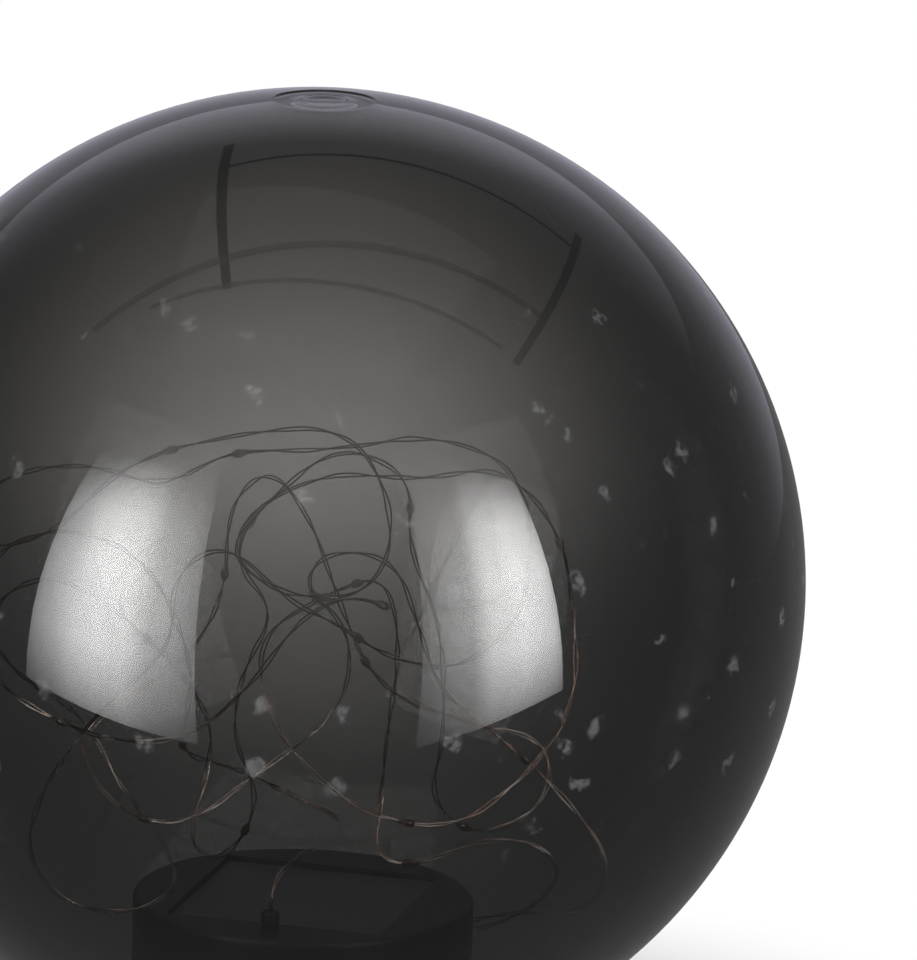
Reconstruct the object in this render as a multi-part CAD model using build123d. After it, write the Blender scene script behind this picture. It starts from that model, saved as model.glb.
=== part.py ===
"""Solar garden globe light: a smoked ball on a black solar base, with a string of small lights inside.

Millimetres. The origin is at the middle of the underside, on the ground, with +Z up. The solar panel's sides
run along X and Y, and the wire outlet stands at the panel's -Y edge.
"""
import math
import os

from build123d import *

# ---- globe ----
globe_diameter = 250.0
globe_wall = 2.2
neck_height = 12.2
neck_blend_radius = 3.0
neck_seat_gap = 0.2
mark_radius = 13.2
mark_edge_depth = 0.4
mark_ring_radius = 6.2
mark_ring_width = 3.4
mark_ring_height = 0.4

# ---- twist lock between globe and base ----
lug_count = 3
lug_arc = 28.0
lug_reach = 2.2
lug_height = 2.6
lug_above_neck_end = 3.0
hook_arc = 30.0
hook_thickness = 2.5
lock_clearance = 0.3
lock_end_clearance = 1.5
stop_arc = 4.0

# ---- base ----
foot_stand = 1.2
flange_thickness = 2.8
collar_clearance = 0.4
collar_wall = 2.4
collar_edge = 0.6
housing_in_neck_gap = 2.3
housing_wall = 2.0
housing_height = 50.5
housing_edge_radius = 1.4
grip_count = 30
grip_radius = 1.5
grip_depth = 0.6
grip_margin = 1.8
neck_gasket_width = 2.8
neck_gasket_thickness = 1.2
ledge_width = 2.0
ledge_thickness = 2.0

# ---- solar panel ----
panel_side = 56.0
panel_board_thickness = 1.2
panel_depth = 1.4
panel_gap = 0.2
panel_tray_wall = 2.2
panel_tray_floor = 1.6
panel_corner_radius = 0.8
panel_corner_margin = 1.42
cell_count = 4
cell_thickness = 0.3
cell_gap = 0.8
cell_border = 2.0
window_thickness = 0.9
window_edge = 0.2

# ---- wire outlet ----
outlet_radius = 2.3
outlet_height = 4.1
outlet_edge_radius = 0.8
outlet_stem_radius = 1.5
outlet_barb_radius = 2.2
outlet_barb_height = 1.4
outlet_barb_edge = 0.7
outlet_from_panel = 2.8
outlet_boss_radius = 3.4
fit_gap = 0.1

# ---- light string ----
string_diameter = 1.2
string_sides = 6
string_lift = 7.2
light_pitch = 100.0
first_light_from_outlet = 100.0
bead_radius = 1.25
bead_length = 3.6
bead_sides = 8
bead_taper = 0.6
chip_length = 1.6
chip_width = 2.0
chip_height = 1.5

# ---- screws ----
slot_length_share = 0.6
slot_width_share = 0.15
head_edge_share = 0.4
point_edge_share = 0.6
countersink_depth = 1.0
countersink_gap = 0.1

# ---- bottom cover ----
cover_thickness = 2.0
cover_gap = 0.4
cover_gasket_width = 1.6
cover_gasket_thickness = 1.0
cover_gasket_gap = 0.2
screw_inset = 7.0
screw_start = 90.0
screw_count = 3
screw_head_radius = 2.7
screw_head_height = 1.9
screw_head_sink = 0.8
screw_shank_radius = 1.5
screw_core_radius = 1.35
screw_length = 10.0
screw_pilot_radius = 1.4
screw_hole_gap = 0.2
screw_well_wall = 1.2
screw_column_radius = 3.2
screw_column_gap = 0.2
column_rib_drop = 4.0

# ---- battery and its door ----
battery_radius = 7.1
battery_length = 49.2
battery_edge = 0.6
battery_nub_radius = 2.7
battery_nub_length = 1.3
battery_row = 10.5
battery_gap = 0.4
bay_wall = 1.4
bay_roof = 1.2
spring_space = 4.0
spring_wire = 0.6
spring_turns = 3.0
spring_radius = 4.0
spring_taper_angle = 20.0
spring_seat = 0.24
contact_thickness = 0.4
contact_width = 9.0
contact_height = 11.0
contact_tab_width = 2.4
contact_tab_reach = 1.5
door_thickness = 1.5
door_seal_thickness = 0.5
door_lap = 1.6
door_gap = 0.3
door_corner_radius = 2.0
door_frame_wall = 1.2
door_tab_width = 11.0
door_tab_reach = 7.0
door_screw_length = 7.0
door_screw_core_radius = 1.1
door_pilot_radius = 1.2
door_boss_wall = 1.6
door_boss_gap = 0.6
door_rib_count = 5
door_rib_pitch = 3.0
door_rib_width = 1.2
door_rib_length = 8.0
door_rib_depth = 0.4
door_rib_from_end = 12.0

# ---- switch ----
switch_row = -18.0
switch_length = 12.6
switch_width = 6.4
switch_height = 5.6
switch_edge = 0.4
switch_travel = 3.0
switch_pocket_depth = 3.2
switch_pocket_end_gap = 1.2
switch_pocket_side_gap = 0.5
switch_pocket_corner = 1.0
switch_pocket_wall = 1.2
switch_floor = 1.2
switch_stop_gap = 0.2
switch_stop_wall = 1.2
switch_stop_height = 4.5
switch_pin_count = 3
switch_pin_pitch = 2.5
switch_pin_width = 0.8
switch_pin_thickness = 0.4
switch_pin_length = 2.4
knob_length = 3.6
knob_width = 2.4
knob_edge = 0.4
knob_below_body = 4.2
knob_inside = 1.8
knob_gap = 0.3
knob_groove_count = 3
knob_groove_pitch = 1.1
knob_groove_width = 0.5
knob_groove_depth = 0.4

# ---- circuit board ----
board_length = 38.0
board_width = 18.0
board_thickness = 1.6
board_corner_radius = 1.0
board_row = -6.0
board_post_height = 7.0
board_post_radius = 2.6
board_screw_spacing = 31.0
board_screw_radius = 1.0
board_screw_core_radius = 0.85
board_pilot_radius = 0.9
board_screw_head_radius = 1.8
board_screw_head_height = 1.2
board_screw_length = 5.0
driver_x, driver_y = -6.0, 3.0
driver_length = 4.6
driver_width = 3.6
driver_height = 1.5
driver_stand = 0.3
driver_leg_count = 4
driver_leg_pitch = 1.2
driver_leg_width = 0.5
driver_leg_reach = 1.1
coil_x, coil_y = 2.0, 2.0
coil_height = 5.0
coil_flange_radius = 2.4
coil_flange_thickness = 1.0
coil_core_radius = 1.9
coil_winding_radius = 2.25
capacitor_x, capacitor_y = 9.0, -3.0
capacitor_radius = 2.5
capacitor_height = 7.0
capacitor_edge = 0.5
lead_diameter = 1.2
lead_sides = 8
lead_spread = 0.8
lead_hole_radius = 2.2

# ---- feet ----
foot_radius = 4.0
foot_recess = 0.8
foot_count = 4
foot_start = 45.0
foot_edge = 0.4

# ---- how far joined forms run into each other, and cutters past what they cut ----
weld = 0.5
past = 1.0

# ---- worked out from the sizes above ----
globe_radius = globe_diameter / 2
cover_top = foot_stand + cover_thickness
ledge_low = cover_top + cover_gasket_thickness
panel_recess = panel_side + 2 * panel_gap
tray_side = panel_recess + 2 * panel_tray_wall
tray_corner_reach = tray_side / math.sqrt(2) - (math.sqrt(2) - 1) * panel_tray_wall
bay_length = battery_length + battery_nub_length + spring_space + 2 * contact_thickness
bay_width = 2 * (battery_radius + battery_gap)
bay_top = cover_top + bay_width
battery_axis = cover_top + battery_radius + battery_gap
battery_start = -bay_length / 2 + contact_thickness + spring_space
door_length = bay_length + 2 * (bay_wall + door_lap)
door_width = bay_width + 2 * (bay_wall + door_lap)
door_frame_length = door_length + 2 * (door_gap + door_frame_wall)
door_frame_width = door_width + 2 * (door_gap + door_frame_wall)
door_frame_reach = math.hypot(door_frame_length / 2, battery_row + door_frame_width / 2)
door_screw_row = battery_row + door_width / 2 + door_tab_reach / 2
door_boss_radius = screw_shank_radius + door_boss_wall
door_screw_top = foot_stand + door_screw_length + door_boss_gap
# The cup is as wide as the panel's tray or the battery door's frame needs, and the globe's neck goes round it.
housing_radius = max(tray_corner_reach + panel_corner_margin, door_frame_reach + ledge_width + housing_wall)
housing_bore = housing_radius - housing_wall
ceiling = housing_height - housing_wall
neck_bore = housing_radius + housing_in_neck_gap
neck_radius = neck_bore + globe_wall
flange_top = foot_stand + flange_thickness
neck_end = flange_top + neck_gasket_thickness + neck_seat_gap
globe_centre_height = neck_end + neck_height + math.sqrt(globe_radius**2 - neck_radius**2)
lug_low = neck_end + lug_above_neck_end
lug_high = lug_low + lug_height
hook_low = lug_high + lock_clearance
collar_top = hook_low + hook_thickness
hook_radius = neck_radius + collar_clearance
collar_bore = neck_radius + lug_reach + collar_clearance
collar_radius = collar_bore + collar_wall
foot_circle = (housing_bore + collar_radius) / 2
cell_low = housing_height - panel_depth - window_thickness - cell_thickness
board_low = cell_low - panel_board_thickness
tray_low = board_low - panel_tray_floor
outlet_row = -(panel_side / 2 + outlet_from_panel)
cover_radius = housing_bore - cover_gap
screw_circle_radius = housing_bore - screw_inset
well_seat = foot_stand + screw_head_height + screw_head_sink
well_top = well_seat + 2 * screw_well_wall
column_low = well_top + screw_column_gap
pocket_length = switch_length + 2 * switch_pocket_end_gap
pocket_width = switch_width + 2 * switch_pocket_side_gap
switch_low = foot_stand + switch_pocket_depth + switch_floor
switch_high = switch_low + switch_height
pcb_high = tray_low - board_post_height
pcb_low = pcb_high - board_thickness
standing = (Align.CENTER, Align.CENTER, Align.MIN)


# ---- small helpers ----
def disc(radius, low, high, x=0.0, y=0.0):
    """Upright cylinder between two heights."""
    return Pos(x, y, low) * Cylinder(radius, high - low, align=standing)


def ring(outer, inner, low, high, x=0.0, y=0.0):
    """Upright tube between two heights."""
    return disc(outer, low, high, x, y) - disc(inner, low, high, x, y)


def block(length, width, low, high, x=0.0, y=0.0, corner=0.0):
    """Upright block between two heights, with rounded upright edges where a corner radius is given."""
    outline = RectangleRounded(length, width, corner) if corner else Rectangle(length, width)
    return Pos(x, y, low) * extrude(outline, high - low)


def arc_block(inner, outer, low, high, sweep, middle):
    """Part of a ring, sweep degrees wide about the direction given by middle."""
    section = Plane.XZ * Pos((inner + outer) / 2, (low + high) / 2) * Rectangle(outer - inner, high - low)
    return Rot(0, 0, middle - sweep / 2) * revolve(section, Axis.Z, sweep)


def around(count, radius, start=0.0):
    """Places spaced evenly on a circle, as x, y and angle."""
    for i in range(count):
        angle = start + 360.0 * i / count
        yield (radius * math.cos(math.radians(angle)), radius * math.sin(math.radians(angle)), angle)


def in_row(count, pitch):
    """Places spaced evenly to both sides of 0."""
    return [(i - (count - 1) / 2) * pitch for i in range(count)]


def screw(head_radius, head_height, core_radius, length):
    """Pan head screw pointing up, with its head's underside at height 0 and a cross slot below."""
    head = disc(head_radius, -head_height, 0)
    head = chamfer(head.edges().sort_by(Axis.Z)[0], head_height * head_edge_share)
    shank = disc(core_radius, 0, length)
    shank = chamfer(shank.edges().sort_by(Axis.Z)[-1], core_radius * point_edge_share)
    return head + shank - Pos(0, 0, -head_height) * cross_slot(head_radius, head_height)


def cross_slot(head_radius, depth):
    length, width = 2 * head_radius * slot_length_share, 2 * head_radius * slot_width_share
    return Box(length, width, depth) + Box(width, length, depth)


def bent_tube(points, diameter, sides):
    """Tube along straight runs joined by arcs, each as large as its two runs allow."""
    points = [Vector(*p) for p in points]
    radii = []
    for before, here, after in zip(points, points[1:], points[2:]):
        run_in, run_out = here - before, after - here
        half_turn = math.radians(run_in.get_angle(run_out)) / 2
        radii.append(0.45 * min(run_in.length, run_out.length) / math.tan(half_turn))
    path = FilletPolyline(*points, radius=radii)
    section = Plane(origin=path @ 0, z_dir=path % 0) * RegularPolygon(diameter / 2, sides)
    return sweep(section, path=path), path, radii


# ---- globe ----
def globe_shell():
    """One blown shell: the ball, its neck with the twist lock's lugs, and the mould mark sunk in its top."""
    centre = Pos(0, globe_centre_height)
    tall = globe_centre_height - neck_end
    outside = centre * Circle(globe_radius) + Pos(0, neck_end + tall / 2) * Rectangle(2 * neck_radius, tall)
    inside = centre * Circle(globe_radius - globe_wall) + Pos(0, neck_end + tall / 2) * Rectangle(2 * neck_bore, tall)
    shell = outside - inside
    shell -= Pos(0, neck_end / 2) * Rectangle(globe_diameter, neck_end)
    shell &= Pos(globe_diameter / 2, globe_centre_height) * Rectangle(globe_diameter, 2 * globe_diameter)
    junctions = [v for v in shell.vertices() if v.X > neck_bore / 2 and v.Y > neck_end + fit_gap]
    shell = fillet(junctions, neck_blend_radius)
    body = revolve(Plane.XZ * shell, Axis.Z)
    rim_height = globe_centre_height + math.sqrt(globe_radius**2 - mark_radius**2)
    floor = rim_height - mark_edge_depth
    body -= disc(mark_radius, floor, rim_height + globe_wall)
    ring_outer = mark_ring_radius + mark_ring_width / 2
    body += ring(ring_outer, ring_outer - mark_ring_width, floor - fit_gap, floor + mark_ring_height)
    for _, _, angle in around(lug_count, neck_radius):
        body += arc_block(neck_radius - weld, neck_radius + lug_reach, lug_low, lug_high, lug_arc, angle)
    return body


def neck_gasket():
    middle = neck_radius - globe_wall / 2
    half = neck_gasket_width / 2
    return ring(middle + half, middle - half, flange_top, flange_top + neck_gasket_thickness)


# ---- base ----
def solar_housing():
    """The cup that stands in the globe's neck, and the collar round the neck, moulded in one."""
    cup = disc(housing_radius, foot_stand, housing_height) - disc(housing_bore, foot_stand, ceiling)
    cup = fillet(cup.edges().group_by(Axis.Z)[-1], housing_edge_radius)
    body = cup + collar() + cover_ledge()
    for _, _, angle in around(lug_count, collar_bore):
        body += arc_block(hook_radius, collar_bore + weld, hook_low, collar_top, hook_arc, angle)
        stop_middle = angle - (lug_arc + stop_arc) / 2 - lock_end_clearance
        body += arc_block(hook_radius, collar_bore + weld, flange_top, hook_low, stop_arc, stop_middle)
    body += block(tray_side, tray_side, tray_low, ceiling + weld, corner=panel_tray_wall)
    body += disc(outlet_boss_radius, tray_low, ceiling + weld, y=outlet_row)
    for x, y, angle in around(screw_count, screw_circle_radius, screw_start):
        body += disc(screw_column_radius, column_low, ceiling + weld, x, y)
        rib_length = screw_inset + weld
        rib = block(rib_length, housing_wall, column_low + column_rib_drop, ceiling + weld,
                    screw_circle_radius + rib_length / 2)
        body += Rot(0, 0, angle) * rib
        body -= disc(screw_pilot_radius, column_low, column_low + screw_length, x, y)
    for x in in_row(2, board_screw_spacing):
        body += disc(board_post_radius, pcb_high, tray_low + weld, x, board_row)
        body -= disc(board_pilot_radius, pcb_high, pcb_high + board_screw_length - board_thickness, x, board_row)
    body -= block(panel_recess, panel_recess, board_low, housing_height + past, corner=panel_corner_radius)
    body -= disc(lead_hole_radius, tray_low - past, board_low + past, y=board_row)
    body -= disc(outlet_stem_radius + fit_gap, tray_low - past, housing_height + past, y=outlet_row)
    for x, y, _ in around(foot_count, foot_circle, foot_start):
        body -= disc(foot_radius + fit_gap, foot_stand, foot_stand + foot_recess, x, y)
    return body


def collar():
    """Flange and outer wall round the globe's neck, with finger grips."""
    wall = disc(collar_radius, foot_stand, collar_top) - disc(collar_bore, flange_top, collar_top)
    wall -= disc(housing_radius - weld, foot_stand, collar_top)
    rims = [e for e in wall.edges().filter_by(GeomType.CIRCLE) if abs(e.radius - collar_radius) < fit_gap]
    wall = chamfer(rims, collar_edge)
    for x, y, _ in around(grip_count, collar_radius - grip_depth + grip_radius, 180.0 / grip_count):
        wall -= disc(grip_radius, foot_stand + grip_margin, collar_top - grip_margin, x, y)
    return wall


def cover_ledge():
    """Ledge inside the cup that the cover's gasket presses on, sloped above so that it moulds cleanly."""
    section = make_face(Polyline(
        (housing_bore + weld, ledge_low),
        (housing_bore - ledge_width, ledge_low),
        (housing_bore - ledge_width, ledge_low + ledge_thickness),
        (housing_bore + weld, ledge_low + ledge_thickness + ledge_width),
        close=True,
    ))
    return revolve(Plane.XZ * section, Axis.Z)


def rubber_feet():
    pads = []
    for x, y, _ in around(foot_count, foot_circle, foot_start):
        pad = disc(foot_radius, 0, foot_stand + foot_recess, x, y)
        pads.append(chamfer(pad.edges().sort_by(Axis.Z)[0], foot_edge))
    return pads


# ---- solar panel ----
def solar_panel_board():
    return block(panel_side, panel_side, board_low, cell_low, corner=panel_corner_radius)


def solar_cells():
    room = panel_side - 2 * cell_border
    width = (room - (cell_count - 1) * cell_gap) / cell_count
    return [block(width, room, cell_low, cell_low + cell_thickness, x) for x in in_row(cell_count, width + cell_gap)]


def panel_window():
    low = cell_low + cell_thickness
    window = block(panel_side, panel_side, low, low + window_thickness, corner=panel_corner_radius)
    return chamfer(window.edges().group_by(Axis.Z)[-1], window_edge)


# ---- wire outlet ----
def wire_outlet():
    """Post that the string comes out of, pressed through the housing's top and held by its barb."""
    post = disc(outlet_radius, housing_height, housing_height + outlet_height, y=outlet_row)
    post = fillet(post.edges().group_by(Axis.Z)[-1], outlet_edge_radius)
    stem = disc(outlet_stem_radius, tray_low, housing_height, y=outlet_row)
    barb = disc(outlet_barb_radius, tray_low - outlet_barb_height, tray_low, y=outlet_row)
    barb = chamfer(barb.edges().group_by(Axis.Z)[0], outlet_barb_edge)
    return post + stem + barb


# ---- light string ----
# The light string's route, seen by a viewer who stands turned by view_turn about the globe and looks down by
# view_drop: right of, above and nearer than the globe's centre. Its points are chosen by hand.
view_turn = 14.7
view_drop = 13.8
string_route = [
    (-2, -70, 4), (1, -69, -18), (9, -67, -44), (9, -62, -70), (-6, -56, -80), (-18, -50, -68), (-34, -46, -48),
    (-31, -35, -34), (-30, -20, -12), (-41, 5, 18), (-63, 13, 30), (-84, 3, 5), (-82, -23, -35), (-59, -36, -58),
    (-48, -57, -62), (-36, -68, -34), (-31, -79, -5), (-44, -86, 6), (-63, -82, 14), (-71, -64, 28), (-53, -34, 45),
    (-33, -18, 56), (-34, 1, 58), (-21, 10, 50), (-5, -5, 44), (9, -11, 42), (19, -18, 34), (38, -22, 18),
    (56, -6, -12), (55, 28, -42), (32, 39, -60), (1, 33, -70), (-23, 33, -72), (-40, 22, -58), (-60, 29, -45),
    (-85, 23, -20), (-84, 5, 15), (-63, 10, 48), (-46, 29, 62), (-16, 37, 72), (10, 39, 68), (22, 16, 58),
    (15, -4, 52), (-9, -3, 55), (-21, 8, 60), (-10, 21, 62), (7, 35, 52), (25, 27, 36), (24, 9, 22), (33, -9, 12),
    (35, -37, 0), (31, -55, -10), (44, -65, -22), (62, -56, -32), (62, -39, -35), (39, -35, -25), (17, -27, -10),
    (7, -5, 5), (0, 15, 12), (-11, 29, 5), (-22, 19, -10), (-22, -3, -25), (-31, -21, -38), (-48, -32, -50),
    (-61, -44, -45), (-49, -61, -30), (-30, -64, -20), (-11, -48, -12), (3, -38, -6), (11, -25, 0), (9, -10, 8),
    (-2, -2, 14), (3, 8, 22), (21, 7, 24), (28, -12, 18), (33, -27, 8), (49, -38, -2), (67, -54, -6), (79, -70, -8),
    (72, -83, -14), (57, -83, -24), (44, -86, -37), (33, -91, -56), (39, -91, -64), (52, -88, -60), (63, -80, -50),
    (66, -72, -42), (58, -65, -38), (44, -66, -41), (28, -73, -40), (18, -71, -44), (19, -56, -48), (20, -38, -40),
    (23, -17, -28), (19, 2, -14), (6, -2, 0), (-12, -13, 12), (-12, -28, 14), (-3, -45, 10), (16, -59, 4),
    (37, -62, -2), (53, -51, -8), (67, -33, -14), (68, -13, -16), (63, 15, -8), (47, 31, 4), (27, 26, 14), (6, 28, 24),
    (-13, 20, 32), (-20, 5, 30), (-8, -8, 22), (-17, -23, 12), (-19, -41, 2), (-11, -56, -12), (-20, -73, -28),
    (-31, -70, -44), (-26, -52, -54), (-25, -35, -44), (-41, -16, -24), (-64, 1, -4), (-81, -7, 12), (-80, -27, 22),
    (-62, -37, 30), (-44, -42, 36), (-27, -39, 40), (-13, -25, 38), (-3, -10, 32), (10, -2, 26), (20, -6, 21),
]


def string_points():
    """The route in the light's own frame, starting straight up out of the wire outlet."""
    turn, drop = math.radians(view_turn), math.radians(view_drop)
    right = Vector(math.cos(turn), math.sin(turn), 0)
    nearer = Vector(math.sin(turn) * math.cos(drop), -math.cos(turn) * math.cos(drop), math.sin(drop))
    above = nearer.cross(right)
    centre = Vector(0, 0, globe_centre_height)
    start = Vector(0, outlet_row, housing_height + outlet_height)
    lifted = start + Vector(0, 0, string_lift)
    return [start, lifted] + [centre + right * u + above * v + nearer * w for u, v, w in string_route]


def least_gap_to_itself(path):
    """Least space between two stretches of the string, measured on points about 1 mm apart."""
    count = int(path.length)
    points = [tuple(path @ (i / count)) for i in range(count + 1)]
    apart = int(6 * string_diameter)
    return min(math.dist(a, b) for i, a in enumerate(points) for b in points[i + apart:]) - string_diameter


def along_string(path, offset):
    """Plane across the string at each light, offset millimetres before it; the last light ends the string."""
    last = path.length - bead_length / 2
    for i in range(int((last - first_light_from_outlet) / light_pitch) + 1):
        place = (last - i * light_pitch - offset) / path.length
        yield Plane(origin=path @ place, z_dir=path % place)


def light_beads(path):
    """Resin drops, each cast round the wires and drawn in at its ends."""
    bead = extrude(RegularPolygon(bead_radius, bead_sides), bead_length / 2, both=True)
    ends = bead.edges().group_by(Axis.Z)
    bead = chamfer(ends[0] + ends[-1], bead_taper)
    return [plane * bead for plane in along_string(path, 0)]


def led_chips(path):
    chip = Box(chip_width, chip_height, chip_length)
    return [plane * chip for plane in along_string(path, (bead_length + chip_length) / 2)]


# ---- bottom cover ----
def base_cover():
    """Bottom plate with the battery bay, the frame round its door, the switch pocket and the screw wells."""
    body = disc(cover_radius, foot_stand, cover_top)
    frame_corner = door_corner_radius + door_gap + door_frame_wall
    body += block(door_frame_length, door_frame_width, cover_top - weld, cover_top + bay_roof,
                  y=battery_row, corner=frame_corner)
    body += block(bay_length + 2 * bay_wall, bay_width + 2 * bay_wall, cover_top, bay_top + bay_roof,
                  y=battery_row, corner=bay_wall)
    body += disc(door_boss_radius, cover_top, door_screw_top + bay_roof, y=door_screw_row)
    body += block(pocket_length + 2 * switch_pocket_wall, pocket_width + 2 * switch_pocket_wall, foot_stand,
                  switch_low, y=switch_row, corner=switch_pocket_corner + switch_pocket_wall)
    for x in in_row(2, switch_length + 2 * switch_stop_gap + switch_stop_wall):
        body += block(switch_stop_wall, switch_width, switch_low - weld, switch_low + switch_stop_height, x, switch_row)
    for x, y, _ in around(screw_count, screw_circle_radius, screw_start):
        body += disc(screw_head_radius + screw_hole_gap + screw_well_wall, cover_top - weld, well_top, x, y)
    return cover_cuts(body)


def cover_cuts(body):
    """The cover's door seat, bay, switch pocket, screw wells and slots for the contacts' tabs."""
    body -= block(door_length + 2 * door_gap, door_width + 2 * door_gap, foot_stand, cover_top,
                  y=battery_row, corner=door_corner_radius + door_gap)
    body -= block(door_tab_width + 2 * door_gap, 2 * door_tab_reach, foot_stand, cover_top,
                  y=battery_row + door_width / 2 + door_gap, corner=door_corner_radius)
    body -= block(bay_length, bay_width, cover_top - past, bay_top, y=battery_row)
    body -= disc(door_pilot_radius, cover_top - past, door_screw_top, y=door_screw_row)
    body -= block(pocket_length, pocket_width, foot_stand, switch_low - switch_floor,
                  y=switch_row, corner=switch_pocket_corner)
    body -= block(knob_length + switch_travel + 2 * knob_gap, knob_width + 2 * knob_gap, foot_stand,
                  switch_low + past, switch_travel / 2, switch_row)
    for x, y, _ in around(screw_count, screw_circle_radius, screw_start):
        body -= disc(screw_head_radius + screw_hole_gap, foot_stand, well_seat, x, y)
        body -= disc(screw_shank_radius + screw_hole_gap, foot_stand, well_top, x, y)
    for x in in_row(2, bay_length - contact_thickness):
        body -= block(contact_thickness + 2 * fit_gap, contact_tab_width + 2 * fit_gap, bay_top - past,
                      bay_top + bay_roof + past, x, battery_row)
    return body


def cover_gasket():
    outer = housing_bore - cover_gasket_gap
    return ring(outer, outer - cover_gasket_width, cover_top, ledge_low)


def cover_screws():
    part = screw(screw_head_radius, screw_head_height, screw_core_radius, screw_length)
    return [Pos(x, y, well_seat) * part for x, y, _ in around(screw_count, screw_circle_radius, screw_start)]


# ---- battery and its door ----
def battery_door():
    high = foot_stand + door_thickness
    plate = block(door_length, door_width, foot_stand, high, y=battery_row, corner=door_corner_radius)
    plate += block(door_tab_width, 2 * (door_tab_reach - door_gap), foot_stand, high,
                   y=battery_row + door_width / 2, corner=door_corner_radius - door_gap)
    plate -= disc(screw_shank_radius + screw_hole_gap, foot_stand, high, y=door_screw_row)
    plate -= Pos(0, door_screw_row, foot_stand) * Cone(
        screw_head_radius + countersink_gap, screw_shank_radius + screw_hole_gap, countersink_depth, align=standing)
    for x in in_row(door_rib_count, door_rib_pitch):
        plate -= block(door_rib_width, door_rib_length, foot_stand, foot_stand + door_rib_depth,
                       x + door_rib_from_end - door_length / 2, battery_row)
    return plate


def door_seal():
    low = foot_stand + door_thickness
    high = low + door_seal_thickness
    outer = block(bay_length + 2 * bay_wall, bay_width + 2 * bay_wall, low, high, y=battery_row, corner=bay_wall)
    return outer - block(bay_length, bay_width, low, high, y=battery_row)


def door_screw():
    """Countersunk screw, flush with the door."""
    head = Cone(screw_head_radius, screw_shank_radius, countersink_depth, align=standing)
    shank = disc(door_screw_core_radius, countersink_depth, door_screw_length)
    slot = cross_slot(screw_head_radius, countersink_depth)
    return Pos(0, door_screw_row, foot_stand) * (head + shank - slot)


def battery_cell():
    can = Cylinder(battery_radius, battery_length, align=standing)
    can = chamfer(can.edges().filter_by(GeomType.CIRCLE), battery_edge)
    nub = disc(battery_nub_radius, battery_length - weld, battery_length + battery_nub_length)
    return Pos(battery_start, battery_row, battery_axis) * Rot(0, 90, 0) * (can + nub)


def battery_spring():
    """Minus contact: a plate in the bay with a cone of spring wire that presses on the cell."""
    x = -bay_length / 2
    coil_length = spring_space - spring_wire
    coil = Helix(pitch=coil_length / spring_turns, height=coil_length, radius=spring_radius,
                 cone_angle=-spring_taper_angle)
    section = Plane(origin=coil @ 0, z_dir=coil % 0) * Rectangle(spring_wire, spring_wire)
    wire = sweep(section, path=coil, is_frenet=True)
    seat = Pos(x + contact_thickness + spring_seat, battery_row, battery_axis) * Rot(0, 90, 0)
    return contact(x + contact_thickness / 2) + seat * wire


def battery_plate():
    """Plus contact: a plain plate at the bay's other end."""
    return contact((bay_length - contact_thickness) / 2)


def contact(x):
    """Contact plate in the bay, with its solder tab up through the slot in the bay's roof."""
    plate = Pos(x, battery_row, battery_axis) * Box(contact_thickness, contact_width, contact_height)
    tab_high = bay_top + bay_roof + contact_tab_reach
    return plate + block(contact_thickness, contact_tab_width, battery_axis, tab_high, x, battery_row)


# ---- switch ----
def switch_body():
    body = block(switch_length, switch_width, switch_low, switch_high, y=switch_row, corner=switch_edge)
    body -= block(knob_length + switch_travel + 2 * knob_gap, knob_width + 2 * knob_gap, switch_low,
                  switch_low + knob_inside + knob_gap, switch_travel / 2, switch_row)
    for x in in_row(switch_pin_count, switch_pin_pitch):
        body += block(switch_pin_width, switch_pin_thickness, switch_high - weld, switch_high + switch_pin_length,
                      x, switch_row)
    return body


def switch_knob():
    low = switch_low - knob_below_body
    knob = block(knob_length, knob_width, low, switch_low + knob_inside, y=switch_row, corner=knob_edge)
    for x in in_row(knob_groove_count, knob_groove_pitch):
        knob -= block(knob_groove_width, knob_width, low, low + knob_groove_depth, x, switch_row)
    return knob


# ---- circuit board ----
def circuit_board():
    board = block(board_length, board_width, pcb_low, pcb_high, y=board_row, corner=board_corner_radius)
    for x in in_row(2, board_screw_spacing):
        board -= disc(board_screw_radius + fit_gap, pcb_low, pcb_high, x, board_row)
    return board


def driver_chip():
    """Driver in its moulded case under the board, with a row of legs on two sides."""
    row = board_row + driver_y
    high = pcb_low - driver_stand
    case = block(driver_length, driver_width, high - driver_height, high, driver_x, row)
    case = chamfer(case.edges().group_by(Axis.Z)[0], driver_stand)
    for y in in_row(2, driver_width + driver_leg_reach - weld):
        for x in in_row(driver_leg_count, driver_leg_pitch):
            case += block(driver_leg_width, driver_leg_reach + weld, high - driver_height / 2, pcb_low,
                          driver_x + x, row + y)
    return case


def boost_coil():
    """Small wire wound choke, standing on its end under the board."""
    x, y = coil_x, board_row + coil_y
    low, high = pcb_low - coil_height + coil_flange_thickness, pcb_low - coil_flange_thickness
    core = disc(coil_flange_radius, pcb_low - coil_height, pcb_low, x, y)
    core -= ring(coil_flange_radius + past, coil_core_radius, low, high, x, y)
    return core + ring(coil_winding_radius, coil_core_radius - fit_gap, low, high, x, y)


def storage_capacitor():
    can = disc(capacitor_radius, pcb_low - capacitor_height, pcb_low, capacitor_x, board_row + capacitor_y)
    return chamfer(can.edges().sort_by(Axis.Z)[0], capacitor_edge)


def board_screws():
    part = screw(board_screw_head_radius, board_screw_head_height, board_screw_core_radius, board_screw_length)
    return [Pos(x, board_row, pcb_low) * part for x in in_row(2, board_screw_spacing)]


# ---- insulated wires inside the housing: the points between their ends are chosen by hand ----
def paired_leads(points):
    """Two insulated wires side by side."""
    tubes = []
    for side in in_row(2, 2 * lead_spread):
        shifted = [(x, y + side, z) for x, y, z in points]
        tubes.append(bent_tube(shifted, lead_diameter, lead_sides)[0])
    return tubes


def panel_leads():
    return paired_leads([(0, board_row, board_low), (0, board_row, tray_low - 2), (3, board_row, pcb_high + 2),
                         (3, board_row, pcb_high)])


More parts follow.
